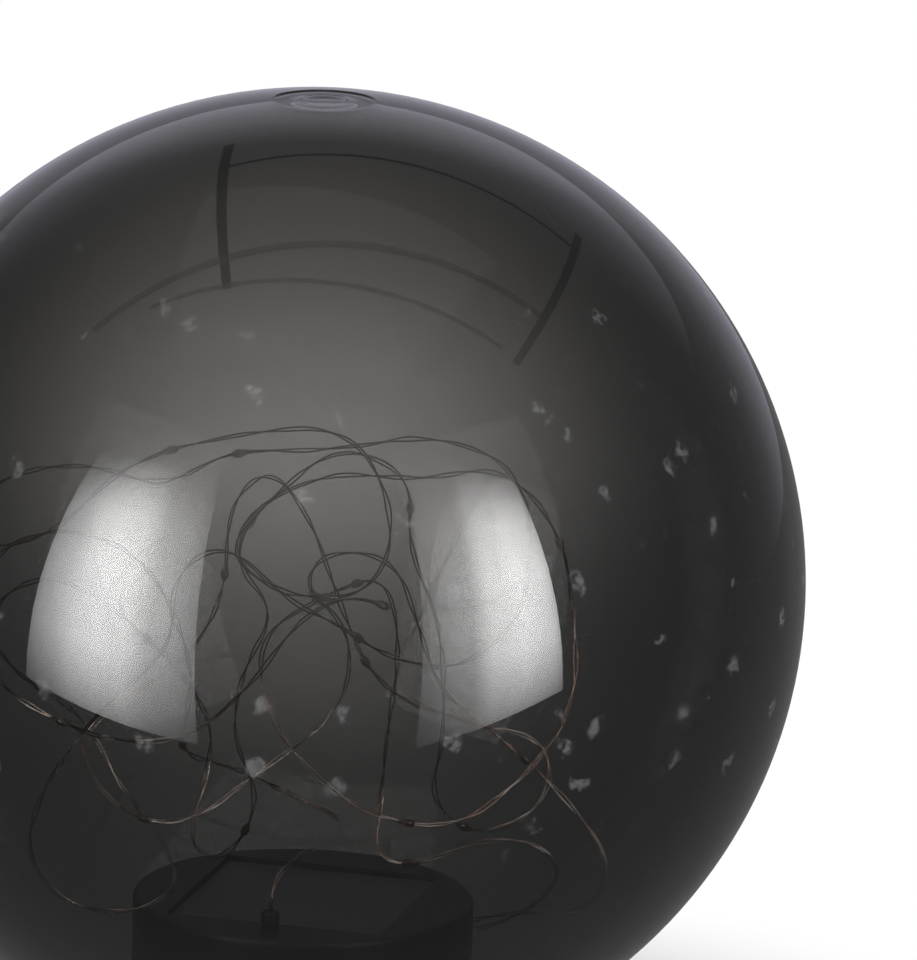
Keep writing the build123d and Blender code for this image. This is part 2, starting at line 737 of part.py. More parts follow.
def switch_leads():
    low = switch_high + switch_pin_length
    near, far = switch_row + 2, switch_row + 5
    return paired_leads([(-6, near, low), (-6, near, low + 8), (-12, far, pcb_low - 6), (-12, far, pcb_low)])


def battery_leads():
    """One wire from each contact's tab up to the board's ends."""
    tubes = []
    for side in (-1, 1):
        x = side * (bay_length - contact_thickness) / 2
        low = bay_top + bay_roof + contact_tab_reach
        end = side * (board_length / 2 - 2.7)
        points = [(x, battery_row, low), (x, battery_row, low + 5), (x - side * 5.5, battery_row - 5, pcb_low - 6),
                  (end, board_row + 5, pcb_low - 4), (end, board_row + 5, pcb_low)]
        tubes.append(bent_tube(points, lead_diameter, lead_sides)[0])
    return tubes


def string_lead():
    """The light string's insulated tail, from the outlet's barb to the board's edge."""
    low = tray_low - outlet_barb_height
    end = board_row - board_width / 2 + 2
    points = [(0, outlet_row, low), (0, outlet_row, low - 3), (0, outlet_row + 5, low - 5.5),
              (0, end - 5, pcb_high + 2.4), (0, end - 1.2, pcb_high + 4), (0, end, pcb_high + 2.6), (0, end, pcb_high)]
    return bent_tube(points, lead_diameter, lead_sides)[0]


def save(name, made):
    """Write one node: a single solid or a group of separate ones."""
    solids = made if isinstance(made, list) else made.solids()
    shape = solids[0] if len(solids) == 1 else Compound(children=[Part(s.wrapped) for s in solids])
    export_step(shape, f"parts/{name}.step")


def main():
    os.makedirs("parts", exist_ok=True)
    tube, path, radii = bent_tube(string_points(), string_diameter, string_sides)
    section_area = string_sides / 2 * (string_diameter / 2) ** 2 * math.sin(2 * math.pi / string_sides)
    print(f"light string: {path.length:.0f} mm long, volume over section times length "
          f"{tube.volume / (section_area * path.length):.4f}")
    print("arc radii:", ", ".join(f"{r:.0f}" for r in radii), f"(least {min(radii):.1f} mm)")
    print(f"least gap to itself: {least_gap_to_itself(path):.1f} mm")
    save("light_string", tube)
    save("light_beads", light_beads(path))
    save("led_chips", led_chips(path))
    for piece in (
        globe_shell, neck_gasket, solar_housing, rubber_feet, solar_panel_board, solar_cells, panel_window,
        wire_outlet, base_cover, cover_gasket, cover_screws, battery_door, door_seal, door_screw, battery_cell,
        battery_spring, battery_plate, switch_body, switch_knob, circuit_board, driver_chip, boost_coil,
        storage_capacitor, board_screws, panel_leads, switch_leads, battery_leads, string_lead,
    ):
        save(piece.__name__, piece())


main()
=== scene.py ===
"""Garden globe light: a smoked plastic ball on a black solar base, with a copper string of small lights inside."""
import math

import bpy
from mathutils import Matrix, Vector


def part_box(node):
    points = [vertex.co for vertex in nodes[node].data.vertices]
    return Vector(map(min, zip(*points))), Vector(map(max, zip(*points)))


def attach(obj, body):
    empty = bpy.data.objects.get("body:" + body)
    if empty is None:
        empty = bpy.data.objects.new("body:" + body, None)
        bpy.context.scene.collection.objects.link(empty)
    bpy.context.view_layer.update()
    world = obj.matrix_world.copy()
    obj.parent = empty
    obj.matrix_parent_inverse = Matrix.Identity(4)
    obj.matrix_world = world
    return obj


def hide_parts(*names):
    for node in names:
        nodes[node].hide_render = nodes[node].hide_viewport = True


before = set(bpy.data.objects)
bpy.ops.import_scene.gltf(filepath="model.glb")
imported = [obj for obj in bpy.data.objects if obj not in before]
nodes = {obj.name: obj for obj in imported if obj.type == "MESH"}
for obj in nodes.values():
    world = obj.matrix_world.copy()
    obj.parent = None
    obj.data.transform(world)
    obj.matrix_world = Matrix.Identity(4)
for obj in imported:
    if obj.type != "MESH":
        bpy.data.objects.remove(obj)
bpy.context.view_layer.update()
MM = 0.001

# ---- sizes repeated from the light, in millimetres ----
GLOBE_RADIUS = 125.0
GLOBE_WALL = 2.2
NECK_RADIUS = 48.0
NECK_END = 5.4
NECK_HEIGHT = 12.2
GLOBE_CENTRE = Vector((0, 0, NECK_END + NECK_HEIGHT + math.sqrt(GLOBE_RADIUS**2 - NECK_RADIUS**2)))
LUG_COUNT, LUG_ARC, LUG_REACH = 3, 28.0, 2.2
LUG_LOW, LUG_HIGH = 8.4, 11.0
MARK_RADIUS = 13.2
MARK_DEPTH = 0.4
MARKS_BELT_RISE = 26
MARKS_SHOW = 0.12
MARK_SECTION = [(0, 0), (3.4, 0), (4.6, 0.12), (5.6, 0.3), (6.6, 0.3), (7.8, 0.12), (9.2, 0), (12.2, 0), (12.8, 0.1)]
OUTLET_TOP = Vector((0, -30.8, 54.6))
STRING_LIFT = 7.2
STRING_LENGTH = 2856.0
LIGHT_PITCH = 100.0
FIRST_LIGHT_FROM_OUTLET = 100.0
WIRE_RADIUS = 0.22
WIRE_TURN_EVERY = 31.0
WIRE_STEP = 0.9
WIRES_APART, WIRES_APART_AT_LIGHT = 0.42, 0.24
FINE_STEP = 0.2
DROP_LENGTH = 5.2
DROP_RADIUS = 1.2
CHIP_SIZE = (1.6, 1.3, 2.2)
CHIP_EDGE = 0.18
CHIP_OFF_MIDDLE = 0.9
LIGHT_TURN = 2.1

# ---- where the photograph was taken from ----
VIEW_TURN = 14.7
VIEW_DROP = 13.8
VIEW_ROLL = 1.7
VIEW_DISTANCE = 3000.0
FRAME_WIDTH, FRAME_HEIGHT = 917, 960
GLOBE_AT_X, GLOBE_AT_Y = 311.7, 581.0
PIXELS_PER_MM = 3.952
SENSOR_HEIGHT = 24.0


def view_axes():
    """Right, above and nearer, for a viewer turned by VIEW_TURN who looks down by VIEW_DROP."""
    turn, drop = math.radians(VIEW_TURN), math.radians(VIEW_DROP)
    right = Vector((math.cos(turn), math.sin(turn), 0))
    nearer = Vector((math.sin(turn) * math.cos(drop), -math.cos(turn) * math.cos(drop), math.sin(drop)))
    return right, nearer.cross(right), nearer


RIGHT, ABOVE, NEARER = view_axes()


# ---- camera ----
def add_camera():
    roll = math.radians(VIEW_ROLL)
    across = RIGHT * math.cos(roll) + ABOVE * math.sin(roll)
    upward = ABOVE * math.cos(roll) - RIGHT * math.sin(roll)
    aside = (FRAME_WIDTH / 2 - GLOBE_AT_X) / PIXELS_PER_MM
    higher = (GLOBE_AT_Y - FRAME_HEIGHT / 2) / PIXELS_PER_MM
    place = GLOBE_CENTRE + NEARER * VIEW_DISTANCE + across * aside + upward * higher
    bpy.ops.object.camera_add(location=place * MM)
    camera = bpy.context.object
    camera.name = "camera"
    camera.matrix_world = Matrix.Translation(place * MM) @ Matrix((across, upward, NEARER)).transposed().to_4x4()
    camera.data.sensor_fit = "VERTICAL"
    camera.data.sensor_height = SENSOR_HEIGHT
    camera.data.lens = SENSOR_HEIGHT * VIEW_DISTANCE * PIXELS_PER_MM / FRAME_HEIGHT
    camera.data.clip_end = 50.0
    bpy.context.scene.camera = camera


# ---- materials ----
def linear(colour):
    """sRGB hex to a linear colour."""
    values = [int(colour[i:i + 2], 16) / 255 for i in (1, 3, 5)]
    return [v / 12.92 if v <= 0.04045 else ((v + 0.055) / 1.055) ** 2.4 for v in values] + [1.0]


def add_node(material, kind, sockets=None, **settings):
    """Add a shader node to a material, set its properties, and fill or link its inputs. A node given for an input is
    linked by the first output that it has in use."""
    made = material.node_tree.nodes.new("ShaderNode" + kind)
    for name, value in settings.items():
        setattr(made, name, value)
    for name, value in (sockets or {}).items():
        if isinstance(value, bpy.types.Node):
            value = next(output for output in value.outputs if output.enabled)
        if isinstance(value, bpy.types.NodeSocket):
            material.node_tree.links.new(value, made.inputs[name])
        else:
            made.inputs[name].default_value = value
    return made


def plain_material(name):
    material = bpy.data.materials.new(name)
    material.use_nodes = True
    material.node_tree.nodes.clear()
    return material


def every(distance):
    """The scale of a pattern that has a feature every so many millimetres."""
    return 1000 / distance


def bands_every(distance):
    """The scale of the wave pattern that has a band every so many millimetres."""
    return 1000 * math.pi / (10 * distance)


def new_material(name):
    """An empty material, and the place on the piece that its patterns follow."""
    material = plain_material(name)
    return material, add_node(material, "TexCoord").outputs["Object"]


def finish_material(material, surface, **volume):
    add_node(material, "OutputMaterial", {"Surface": surface, **volume})
    return material


def smoked_acrylic():
    """Moulded smoked acrylic: clear and glossy, and darker where the eye looks through more of the wall.
    Pale matt patches lie in a belt above its belly, about 5 mm long and some 2 cm apart."""
    made, place = new_material("smoked_acrylic")
    apart = add_node(made, "TexVoronoi", {"Vector": place, "Scale": every(14)})
    wander = add_node(made, "TexNoise", {"Vector": place, "Scale": every(4), "Detail": 2.0})
    fibres = add_node(made, "TexNoise", {"Vector": place, "Scale": every(1.6), "Detail": 3.0})
    chosen = add_node(made, "SeparateColor", {"Color": apart.outputs["Color"]})
    kept = add_node(made, "Math", {0: chosen.outputs["Red"], 1: 0.40}, operation="GREATER_THAN")
    edge = add_node(made, "Math", {0: wander, 1: 0.55, 2: apart}, operation="MULTIPLY_ADD")
    patch = add_node(made, "MapRange", {"Value": edge, "From Min": 0.47, "From Max": 0.38})
    streak = add_node(made, "MapRange", {"Value": fibres, "From Min": 0.36, "From Max": 0.60})
    height = add_node(made, "SeparateXYZ", {"Vector": place})
    belt_height = (GLOBE_CENTRE.z + MARKS_BELT_RISE) * MM
    from_belt = add_node(made, "Math", {0: height.outputs["Z"], 1: belt_height}, operation="SUBTRACT")
    off_belt = add_node(made, "Math", {0: from_belt}, operation="ABSOLUTE")
    belt = add_node(made, "MapRange", {"Value": off_belt, "From Min": 0.074, "From Max": 0.048})
    mark = kept
    for share in (patch, streak, belt, MARKS_SHOW):
        mark = add_node(made, "Math", {0: mark, 1: share}, operation="MULTIPLY")
    body = add_node(made, "BsdfPrincipled", {
        "Base Color": linear("#ffffff"), "Roughness": 0.0, "IOR": 1.49, "Transmission Weight": 1.0})
    # pale matt patches in the belt above the belly, mixed over the clear shell
    pale_patch_shader = add_node(made, "BsdfDiffuse", {"Color": linear("#dcdcdc")})
    surface = add_node(made, "MixShader", {"Fac": mark, 1: body, 2: pale_patch_shader})
    smoke = add_node(made, "VolumeAbsorption", {"Color": linear("#2a2114"), "Density": 485.0})
    return finish_material(made, surface, Volume=smoke)


def clear_epoxy():
    """Cast epoxy: clear and wet looking, faintly cloudy with fine bubbles about 0.4 mm apart."""
    made, place = new_material("cast_clear_epoxy")
    cloud = add_node(made, "TexNoise", {"Vector": place, "Scale": every(0.4), "Detail": 1.0})
    haze = add_node(made, "MapRange", {"Value": cloud, "To Min": 0.02, "To Max": 0.22})
    body = add_node(made, "BsdfPrincipled", {
        "Base Color": linear("#9a8472"), "Roughness": haze, "IOR": 1.5, "Transmission Weight": 0.72})
    return finish_material(made, body)


def amber_phosphor():
    """The chip's silicone and phosphor: a soft amber brown, mottled about every 0.3 mm."""
    made, place = new_material("amber_phosphor_silicone")
    mottle = add_node(made, "TexNoise", {"Vector": place, "Scale": every(0.3), "Detail": 2.0})
    tone = add_node(made, "Mix", {"Factor": mottle, "A": linear("#4a3122"), "B": linear("#95683f")}, data_type="RGBA")
    body = add_node(made, "BsdfPrincipled", {"Base Color": tone, "Roughness": 0.45, "IOR": 1.41})
    return finish_material(made, body)


def moulded_abs(name, colour, roughness):
    """Injection moulded ABS: satin, with a fine spark-eroded grain about 0.3 mm across."""
    made, place = new_material(name)
    grain = add_node(made, "TexNoise", {"Vector": place, "Scale": every(0.3), "Detail": 2.0})
    shine = add_node(made, "MapRange", {"Value": grain, "To Min": roughness - 0.06, "To Max": roughness + 0.06})
    bump = add_node(made, "Bump", {"Height": grain, "Strength": 0.15, "Distance": 0.00005})
    body = add_node(made, "BsdfPrincipled", {
        "Base Color": linear(colour), "Roughness": shine, "IOR": 1.53, "Normal": bump})
    return finish_material(made, body)


def enamelled_copper():
    """Drawn copper under a thin lacquer: rose and silvery stretches a few centimetres long, and between them stretches
    that go brown almost to black at random, with painted shade that darkens the wires more the higher they lie."""
    made, place = new_material("enamelled_copper")
    height = add_node(made, "SeparateXYZ", {"Vector": place})
    stretch = add_node(made, "TexNoise", {"Vector": place, "Scale": every(26), "Detail": 3.0})
    # painted shade: the higher a wire lies, the darker it is made, added to the random brown-black stretches
    rise = add_node(made, "MapRange", {"Value": height.outputs["Z"], "From Min": 0.095, "From Max": 0.150,
                                       "To Min": -0.07, "To Max": 0.26})
    browned_and_painted_shade = add_node(made, "Math", {0: stretch, 1: rise}, operation="ADD")
    share = add_node(made, "MapRange", {"Value": browned_and_painted_shade, "From Min": 0.46, "From Max": 0.56})
    lacquer = add_node(made, "TexNoise", {"Vector": place, "Scale": every(11), "Detail": 2.0})
    pale = add_node(made, "MapRange", {"Value": lacquer, "From Min": 0.45, "From Max": 0.55})
    bright = add_node(made, "Mix", {"Factor": pale, "A": linear("#948074"), "B": linear("#bcb2aa")}, data_type="RGBA")
    tone = add_node(made, "Mix", {"Factor": share, "A": bright, "B": linear("#2c201a")}, data_type="RGBA")
    dull = add_node(made, "MapRange", {"Value": share, "To Min": 0.20, "To Max": 0.50})
    body = add_node(made, "BsdfPrincipled", {"Base Color": tone, "Metallic": 1.0, "Roughness": dull})
    return finish_material(made, body)


def nickel_plated_steel():
    """Pressed steel under bright nickel: silvery, its polish slightly uneven in blotches about 2 mm across."""
    made, place = new_material("nickel_plated_steel")
    blotch = add_node(made, "TexNoise", {"Vector": place, "Scale": every(2.0), "Detail": 3.0})
    shine = add_node(made, "MapRange", {"Value": blotch, "To Min": 0.22, "To Max": 0.40})
    body = add_node(made, "BsdfPrincipled", {"Base Color": linear("#b9b6ae"), "Metallic": 1.0, "Roughness": shine})
    return finish_material(made, body)


def moulded_rubber():
    """Moulded EPDM rubber: dull black with a faint grey bloom in patches about 3 mm across and a fine skin."""
    made, place = new_material("moulded_rubber")
    bloom = add_node(made, "TexNoise", {"Vector": place, "Scale": every(3.0), "Detail": 3.0})
    skin = add_node(made, "TexNoise", {"Vector": place, "Scale": every(0.4), "Detail": 2.0})
    tone = add_node(made, "Mix", {"Factor": bloom, "A": linear("#161616"), "B": linear("#2b2b2a")}, data_type="RGBA")
    bump = add_node(made, "Bump", {"Height": skin, "Strength": 0.3, "Distance": 0.00008})
    body = add_node(made, "BsdfPrincipled", {"Base Color": tone, "Roughness": 0.78, "IOR": 1.52, "Normal": bump})
    return finish_material(made, body)


def closed_cell_foam():
    """Die-cut closed cell foam: soft dark grey with cells about 0.5 mm across."""
    made, place = new_material("closed_cell_foam")
    cells = add_node(made, "TexVoronoi", {"Vector": place, "Scale": every(0.5)})
    tone = add_node(made, "Mix", {"Factor": cells, "A": linear("#3a3a3c"), "B": linear("#5a5a5e")}, data_type="RGBA")
    bump = add_node(made, "Bump", {"Height": cells, "Strength": 0.6, "Distance": 0.0001})
    body = add_node(made, "BsdfPrincipled", {"Base Color": tone, "Roughness": 0.92, "Normal": bump})
    return finish_material(made, body)


def glass_epoxy_board(name, colour, weave):
    """Glass epoxy board under solder mask: its glass cloth shows through faintly, in threads 0.6 mm apart."""
    made, place = new_material(name)
    threads = [add_node(made, "TexWave", {"Vector": place, "Scale": bands_every(0.6), "Distortion": 0.4},
                        bands_direction=direction).outputs["Fac"] for direction in ("X", "Y")]
    cloth = add_node(made, "Math", {0: threads[0], 1: threads[1]}, operation="MULTIPLY")
    tone = add_node(made, "Mix", {"Factor": cloth, "A": linear(colour), "B": linear(weave)}, data_type="RGBA")
    body = add_node(made, "BsdfPrincipled", {"Base Color": tone, "Roughness": 0.38, "IOR": 1.55})
    return finish_material(made, body)


def silicon_cells():
    """Cut monocrystalline silicon: blue-black and satin, with silver fingers printed across it 1.6 mm apart."""
    made, place = new_material("monocrystalline_silicon")
    fingers = add_node(made, "TexWave", {"Vector": place, "Scale": bands_every(1.6)}, bands_direction="Y")
    line = add_node(made, "MapRange", {"Value": fingers.outputs["Fac"], "From Min": 0.93, "From Max": 1.0,
                                       "To Max": 0.5})
    haze = add_node(made, "TexNoise", {"Vector": place, "Scale": every(6), "Detail": 2.0})
    cell = add_node(made, "Mix", {"Factor": haze, "A": linear("#12141a"), "B": linear("#1e2430")}, data_type="RGBA")
    tone = add_node(made, "Mix", {"Factor": line, "A": cell, "B": linear("#8d9096")}, data_type="RGBA")
    body = add_node(made, "BsdfPrincipled", {"Base Color": tone, "Roughness": 0.3, "IOR": 1.9})
    return finish_material(made, body)


def frosted_lamination():
    """The panel's cast epoxy face: see-through but milky grey, with a fine satin grain about 0.5 mm across."""
    made, place = new_material("frosted_epoxy")
    grain = add_node(made, "TexNoise", {"Vector": place, "Scale": every(0.5), "Detail": 2.0})
    shine = add_node(made, "MapRange", {"Value": grain, "To Min": 0.30, "To Max": 0.48})
    body = add_node(made, "BsdfPrincipled", {
        "Base Color": linear("#8c8e92"), "Roughness": shine, "IOR": 1.5, "Transmission Weight": 0.55})
    return finish_material(made, body)


def two_finishes(made, value, edge, below, above):
    """One shader where a value, in metres, is below an edge and another where it is above."""
    side = add_node(made, "Math", {0: value, 1: edge}, operation="GREATER_THAN")
    return add_node(made, "MixShader", {"Fac": side, 1: below, 2: above})


def sleeved_cell(low, high):
    """A battery cell: a heat-shrunk PVC sleeve, finely rippled every 4 mm, and bare plated steel ends."""
    made, place = new_material("shrunk_pvc_sleeve")
    along = add_node(made, "SeparateXYZ", {"Vector": place})
    ripple = add_node(made, "TexNoise", {"Vector": place, "Scale": every(4), "Detail": 1.0})
    bump = add_node(made, "Bump", {"Height": ripple, "Strength": 0.2, "Distance": 0.0002})
    tone = add_node(made, "Mix", {"Factor": ripple, "A": linear("#3c4650"), "B": linear("#4c5866")}, data_type="RGBA")
    sleeve = add_node(made, "BsdfPrincipled", {"Base Color": tone, "Roughness": 0.26, "IOR": 1.54, "Normal": bump})
    steel = add_node(made, "BsdfPrincipled", {"Base Color": linear("#bdbab2"), "Metallic": 1.0, "Roughness": 0.28})
    upper = two_finishes(made, along.outputs["X"], high, sleeve, steel)
    return finish_material(made, two_finishes(made, along.outputs["X"], low, steel, upper))


def driver_chip_case(middle_x, half_body):
    """A moulded epoxy chip: charcoal and finely gritty, 0.2 mm, with dull tinned legs at its sides."""
    made, place = new_material("moulded_epoxy_chip")
    split = add_node(made, "SeparateXYZ", {"Vector": place})
    grit = add_node(made, "TexNoise", {"Vector": place, "Scale": every(0.2), "Detail": 1.0})
    tone = add_node(made, "Mix", {"Factor": grit, "A": linear("#141414"), "B": linear("#2a2a2a")}, data_type="RGBA")
    case = add_node(made, "BsdfPrincipled", {"Base Color": tone, "Roughness": 0.6})
    off = add_node(made, "Math", {0: split.outputs["X"], 1: middle_x}, operation="SUBTRACT")
    aside = add_node(made, "Math", {0: off}, operation="ABSOLUTE")
    tin = add_node(made, "BsdfPrincipled", {"Base Color": linear("#a9a9a6"), "Metallic": 1.0, "Roughness": 0.35})
    return finish_material(made, two_finishes(made, aside, half_body, case, tin))


def wound_ferrite(low, high):
    """A small choke: a dull ferrite bobbin, and between its flanges enamelled copper in turns 0.35 mm apart."""
    made, place = new_material("wound_ferrite")
    split = add_node(made, "SeparateXYZ", {"Vector": place})
    turns = add_node(made, "TexWave", {"Vector": place, "Scale": bands_every(0.35)}, bands_direction="Z")
    copper_tone = add_node(made, "Mix", {
        "Factor": turns.outputs["Fac"], "A": linear("#5a2d18"), "B": linear("#b8703f")}, data_type="RGBA")
    copper = add_node(made, "BsdfPrincipled", {"Base Color": copper_tone, "Metallic": 1.0, "Roughness": 0.3})
    grains = add_node(made, "TexNoise", {"Vector": place, "Scale": every(0.3), "Detail": 2.0})
    grey = add_node(made, "Mix", {"Factor": grains, "A": linear("#242220"), "B": linear("#3e3b38")}, data_type="RGBA")
    ferrite = add_node(made, "BsdfPrincipled", {"Base Color": grey, "Roughness": 0.65})
    upper = two_finishes(made, split.outputs["Z"], high, copper, ferrite)
    return finish_material(made, two_finishes(made, split.outputs["Z"], low, ferrite, upper))


def capacitor_can(bare_below):
    """An electrolytic capacitor: a drawn aluminium can, faintly lined every 0.5 mm, in a dark plastic sleeve."""
    made, place = new_material("drawn_aluminium_can")
    split = add_node(made, "SeparateXYZ", {"Vector": place})
    lines = add_node(made, "TexWave", {"Vector": place, "Distortion": 1.0,
                                       "Scale": bands_every(0.5)}, bands_direction="Z")
    shine = add_node(made, "MapRange", {"Value": lines.outputs["Fac"], "To Min": 0.24, "To Max": 0.36})
    can = add_node(made, "BsdfPrincipled", {"Base Color": linear("#c6c8ca"), "Metallic": 1.0, "Roughness": shine})
    sleeve = add_node(made, "BsdfPrincipled", {"Base Color": linear("#1d2330"), "Roughness": 0.3})
    return finish_material(made, two_finishes(made, split.outputs["Z"], bare_below, can, sleeve))


def pvc_insulation(name, axis=None, edge=0.0):
    """Extruded PVC insulation, scuffed every 2 mm: satin red, and black for the lead past an edge."""
    made, place = new_material(name)
    scuff = add_node(made, "TexNoise", {"Vector": place, "Scale": every(2.0), "Detail": 2.0})
    shine = add_node(made, "MapRange", {"Value": scuff, "To Min": 0.32, "To Max": 0.55})
    red, black = (add_node(made, "BsdfPrincipled", {"Base Color": linear(colour), "IOR": 1.54, "Roughness": shine})
                  for colour in ("#a8201c", "#1c1c1e"))
    if not axis:
        return finish_material(made, red)
    split = add_node(made, "SeparateXYZ", {"Vector": place})
    return finish_material(made, two_finishes(made, split.outputs[axis], edge, black, red))


def give(piece, *materials):
    piece.data.materials.clear()
    for material in materials:
        piece.data.materials.append(material)


# ---- modelling helpers ----
SMOOTH_BELOW = math.radians(28)


def added(name, primitive, **measures):
    """Add a primitive with nothing else selected, and name it."""
    bpy.ops.object.select_all(action="DESELECT")
    primitive(**measures)
    piece = bpy.context.object
    piece.name = name
    return piece


def start_outline(name, point):
    """A new piece of one vertex, open in edit mode, to draw an outline from."""
    piece = added(name, bpy.ops.mesh.primitive_plane_add, size=MM, location=(0, 0, 0))
    bpy.context.tool_settings.mesh_select_mode = (True, False, False)
    bpy.ops.object.mode_set(mode="EDIT")
    bpy.ops.mesh.select_all(action="SELECT")
    bpy.ops.mesh.merge(type="CENTER")
    bpy.ops.transform.translate(value=Vector(point) * MM)
    return piece


def lathe(name, outline, steps=128):
    """Turn an outline of (radius, height) points about the light's axis into a closed piece."""
    piece = start_outline(name, (outline[0][0], 0, outline[0][1]))
    for (r0, z0), (r1, z1) in zip(outline, outline[1:]):
        bpy.ops.mesh.extrude_region_move(TRANSFORM_OT_translate={"value": ((r1 - r0) * MM, 0, (z1 - z0) * MM)})
    bpy.ops.mesh.select_all(action="SELECT")
    bpy.ops.mesh.spin(steps=steps, angle=2 * math.pi, center=(0, 0, 0), axis=(0, 0, 1))
    bpy.ops.mesh.select_all(action="SELECT")
    bpy.ops.mesh.remove_doubles(threshold=0.00001)
    bpy.ops.mesh.normals_make_consistent(inside=False)
    bpy.ops.object.mode_set(mode="OBJECT")
    bpy.ops.object.shade_smooth_by_angle(angle=SMOOTH_BELOW)
    return piece


def arc(radius, centre_height, start, end, steps):
    """Points (radius, height) along an arc about the globe's centre; angles are degrees from the top."""
    points = []
    for i in range(steps + 1):
        angle = math.radians(start + (end - start) * i / steps)
        points.append((radius * math.sin(angle), centre_height + radius * math.cos(angle)))
    return points


def edit_faces(piece, wanted):
    """Open a piece in edit mode with only the wanted faces selected; wanted is asked for each face's centre."""
    bpy.context.tool_settings.mesh_select_mode = (False, False, True)
    bpy.ops.object.mode_set(mode="EDIT")
    bpy.ops.mesh.select_all(action="DESELECT")
    bpy.ops.object.mode_set(mode="OBJECT")
    for face in piece.data.polygons:
        face.select = wanted(face.center / MM)
    bpy.ops.object.mode_set(mode="EDIT")


# ---- globe ----
def raise_lugs(piece):
    """Draw the twist lock's lugs out of the neck's outer wall."""
    def on_lug(point):
        angle = math.degrees(math.atan2(point.y, point.x)) % (360 / LUG_COUNT)
        on_wall = abs(point.xy.length - NECK_RADIUS) < 0.1
        return on_wall and LUG_LOW < point.z < LUG_HIGH and min(angle, 360 / LUG_COUNT - angle) < LUG_ARC / 2

    edit_faces(piece, on_lug)
    bpy.ops.mesh.extrude_region_shrink_fatten(TRANSFORM_OT_shrink_fatten={"value": LUG_REACH * MM})
    bpy.ops.object.mode_set(mode="OBJECT")
    bpy.ops.object.shade_smooth_by_angle(angle=SMOOTH_BELOW)


def globe():
    """One blown shell: the ball, its neck with the twist lock's lugs, and the soft mould mark at its top."""
    inner = GLOBE_RADIUS - GLOBE_WALL
    centre = GLOBE_CENTRE.z
    mark_angle = math.degrees(math.asin(MARK_RADIUS / GLOBE_RADIUS))
    rim = centre + math.sqrt(GLOBE_RADIUS**2 - MARK_RADIUS**2)
    floor = rim - MARK_DEPTH
    neck_angle = 180 - math.degrees(math.asin(NECK_RADIUS / GLOBE_RADIUS))
    bore = NECK_RADIUS - GLOBE_WALL
    bore_angle = 180 - math.degrees(math.asin(bore / inner))
    outline = [(radius, floor + height) for radius, height in MARK_SECTION]
    outline += arc(GLOBE_RADIUS, centre, mark_angle, neck_angle - 1.5, 80)
    outline += [(NECK_RADIUS + 0.6, outline[-1][1] - 1.6), (NECK_RADIUS, outline[-1][1] - 3.4)]
    outline += [(NECK_RADIUS, LUG_HIGH), (NECK_RADIUS, LUG_LOW), (NECK_RADIUS, NECK_END)]
    outline += [(bore, NECK_END)]
    back = arc(inner, centre, 0, bore_angle - 1.5, 80)
    outline += [(bore, back[-1][1] - 3.0), (bore + 0.5, back[-1][1] - 1.4)]
    outline += back[::-1]
    piece = lathe("globe_dressed", outline, 192)
    raise_lugs(piece)
    give(piece, smoked_acrylic())
    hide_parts("globe_shell")
    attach(piece, "globe")


# ---- light string: its route, right of, above and nearer than the globe's centre ----
STRING_ROUTE = [
    (-2, -70, 4), (1, -69, -18), (9, -67, -44), (9, -62, -70), (-6, -56, -80), (-18, -50, -68), (-34, -46, -48),
    (-31, -35, -34), (-30, -20, -12), (-41, 5, 18), (-63, 13, 30), (-84, 3, 5), (-82, -23, -35), (-59, -36, -58),
    (-48, -57, -62), (-36, -68, -34), (-31, -79, -5), (-44, -86, 6), (-63, -82, 14), (-71, -64, 28), (-53, -34, 45),
    (-33, -18, 56), (-34, 1, 58), (-21, 10, 50), (-5, -5, 44), (9, -11, 42), (19, -18, 34), (38, -22, 18),
    (56, -6, -12), (55, 28, -42), (32, 39, -60), (1, 33, -70), (-23, 33, -72), (-40, 22, -58), (-60, 29, -45),
    (-85, 23, -20), (-84, 5, 15), (-63, 10, 48), (-46, 29, 62), (-16, 37, 72), (10, 39, 68), (22, 16, 58),
    (15, -4, 52), (-9, -3, 55), (-21, 8, 60), (-10, 21, 62), (7, 35, 52), (25, 27, 36), (24, 9, 22), (33, -9, 12),
    (35, -37, 0), (31, -55, -10), (44, -65, -22), (62, -56, -32), (62, -39, -35), (39, -35, -25), (17, -27, -10),
    (7, -5, 5), (0, 15, 12), (-11, 29, 5), (-22, 19, -10), (-22, -3, -25), (-31, -21, -38), (-48, -32, -50),
    (-61, -44, -45), (-49, -61, -30), (-30, -64, -20), (-11, -48, -12), (3, -38, -6), (11, -25, 0), (9, -10, 8),
    (-2, -2, 14), (3, 8, 22), (21, 7, 24), (28, -12, 18), (33, -27, 8), (49, -38, -2), (67, -54, -6), (79, -70, -8),
    (72, -83, -14), (57, -83, -24), (44, -86, -37), (33, -91, -56), (39, -91, -64), (52, -88, -60), (63, -80, -50),
    (66, -72, -42), (58, -65, -38), (44, -66, -41), (28, -73, -40), (18, -71, -44), (19, -56, -48), (20, -38, -40),
    (23, -17, -28), (19, 2, -14), (6, -2, 0), (-12, -13, 12), (-12, -28, 14), (-3, -45, 10), (16, -59, 4),
    (37, -62, -2), (53, -51, -8), (67, -33, -14), (68, -13, -16), (63, 15, -8), (47, 31, 4), (27, 26, 14), (6, 28, 24),
    (-13, 20, 32), (-20, 5, 30), (-8, -8, 22), (-17, -23, 12), (-19, -41, 2), (-11, -56, -12), (-20, -73, -28),
    (-31, -70, -44), (-26, -52, -54), (-25, -35, -44), (-41, -16, -24), (-64, 1, -4), (-81, -7, 12), (-80, -27, 22),
    (-62, -37, 30), (-44, -42, 36), (-27, -39, 40), (-13, -25, 38), (-3, -10, 32), (10, -2, 26), (20, -6, 21),
]


